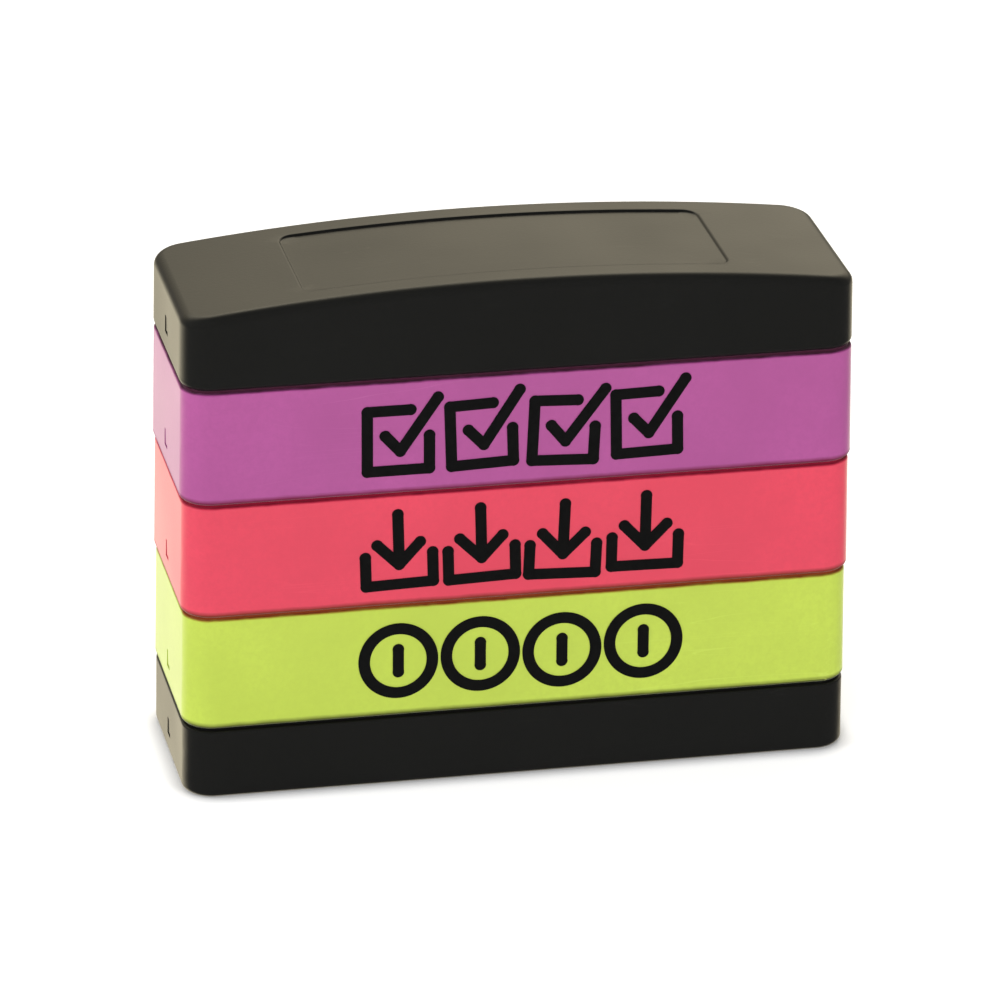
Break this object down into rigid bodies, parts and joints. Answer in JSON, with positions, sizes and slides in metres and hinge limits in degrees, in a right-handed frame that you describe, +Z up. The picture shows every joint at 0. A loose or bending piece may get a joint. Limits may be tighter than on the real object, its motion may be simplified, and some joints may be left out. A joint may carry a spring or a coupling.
{
  "type": "self inking stamp",
  "caption": "Upright stack of plug-together pre-inked message stamps, each with a sprung porous die, between a storage base and a shallow arched handle.",
  "frame": {"origin": "centre of the flat face that the base stands on", "axes": "+X along the length, to the right seen from the front; +Y from the front to the back; +Z up"},
  "size_m": [0.0722, 0.0236, 0.0565],
  "materials": {
    "black_plastic": "fine moulded texture, satin",
    "lime_plastic": "fine moulded texture, satin",
    "coral_plastic": "fine moulded texture, satin",
    "purple_plastic": "fine moulded texture, satin",
    "black_ink": "flat pad-printed ink",
    "inner_plastic": "matt moulded",
    "lime_rubber": "porous rubber soaked with green ink",
    "coral_rubber": "porous rubber soaked with red ink",
    "purple_rubber": "porous rubber soaked with purple ink",
    "felt": "dense ink-soaked felt",
    "spring_steel": "drawn stainless wire"
  },
  "bodies": {
    "base": {"base_shell": "black_plastic", "base_plate": "black_plastic"},
    "lime_stamp": {"lime_case": "lime_plastic", "lime_print": "black_ink", "lime_springs": "spring_steel"},
    "lime_carriage": {"lime_carriage": "inner_plastic", "lime_bezel": "inner_plastic", "lime_die": "lime_rubber", "lime_ink_pad": "felt"},
    "coral_stamp": {"coral_case": "coral_plastic", "coral_print": "black_ink", "coral_springs": "spring_steel"},
    "coral_carriage": {"coral_carriage": "inner_plastic", "coral_bezel": "inner_plastic", "coral_die": "coral_rubber", "coral_ink_pad": "felt"},
    "purple_stamp": {"purple_case": "purple_plastic", "purple_print": "black_ink", "purple_springs": "spring_steel"},
    "purple_carriage": {"purple_carriage": "inner_plastic", "purple_bezel": "inner_plastic", "purple_die": "purple_rubber", "purple_ink_pad": "felt"},
    "handle": {"handle": "black_plastic"}
  },
  "joints": [
    {"name": "lime_lift", "type": "slide", "parent": "base", "child": "lime_stamp", "axis": [0, 0, 1], "range_m": [0, 0.02]},
    {"name": "coral_lift", "type": "slide", "parent": "lime_stamp", "child": "coral_stamp", "axis": [0, 0, 1], "range_m": [0, 0.02]},
    {"name": "purple_lift", "type": "slide", "parent": "coral_stamp", "child": "purple_stamp", "axis": [0, 0, 1], "range_m": [0, 0.02]},
    {"name": "handle_lift", "type": "slide", "parent": "purple_stamp", "child": "handle", "axis": [0, 0, 1], "range_m": [0, 0.02]},
    {"name": "lime_press", "type": "slide", "parent": "lime_stamp", "child": "lime_carriage", "axis": [0, 0, 1], "range_m": [0, 0.001], "stiffness_N_per_m": 1230, "springref_m": -0.0038, "deforming": ["lime_springs"]},
    {"name": "coral_press", "type": "slide", "parent": "coral_stamp", "child": "coral_carriage", "axis": [0, 0, 1], "range_m": [0, 0.001], "stiffness_N_per_m": 1230, "springref_m": -0.0038, "deforming": ["coral_springs"]},
    {"name": "purple_press", "type": "slide", "parent": "purple_stamp", "child": "purple_carriage", "axis": [0, 0, 1], "range_m": [0, 0.001], "stiffness_N_per_m": 1230, "springref_m": -0.0038, "deforming": ["purple_springs"]}
  ]
}
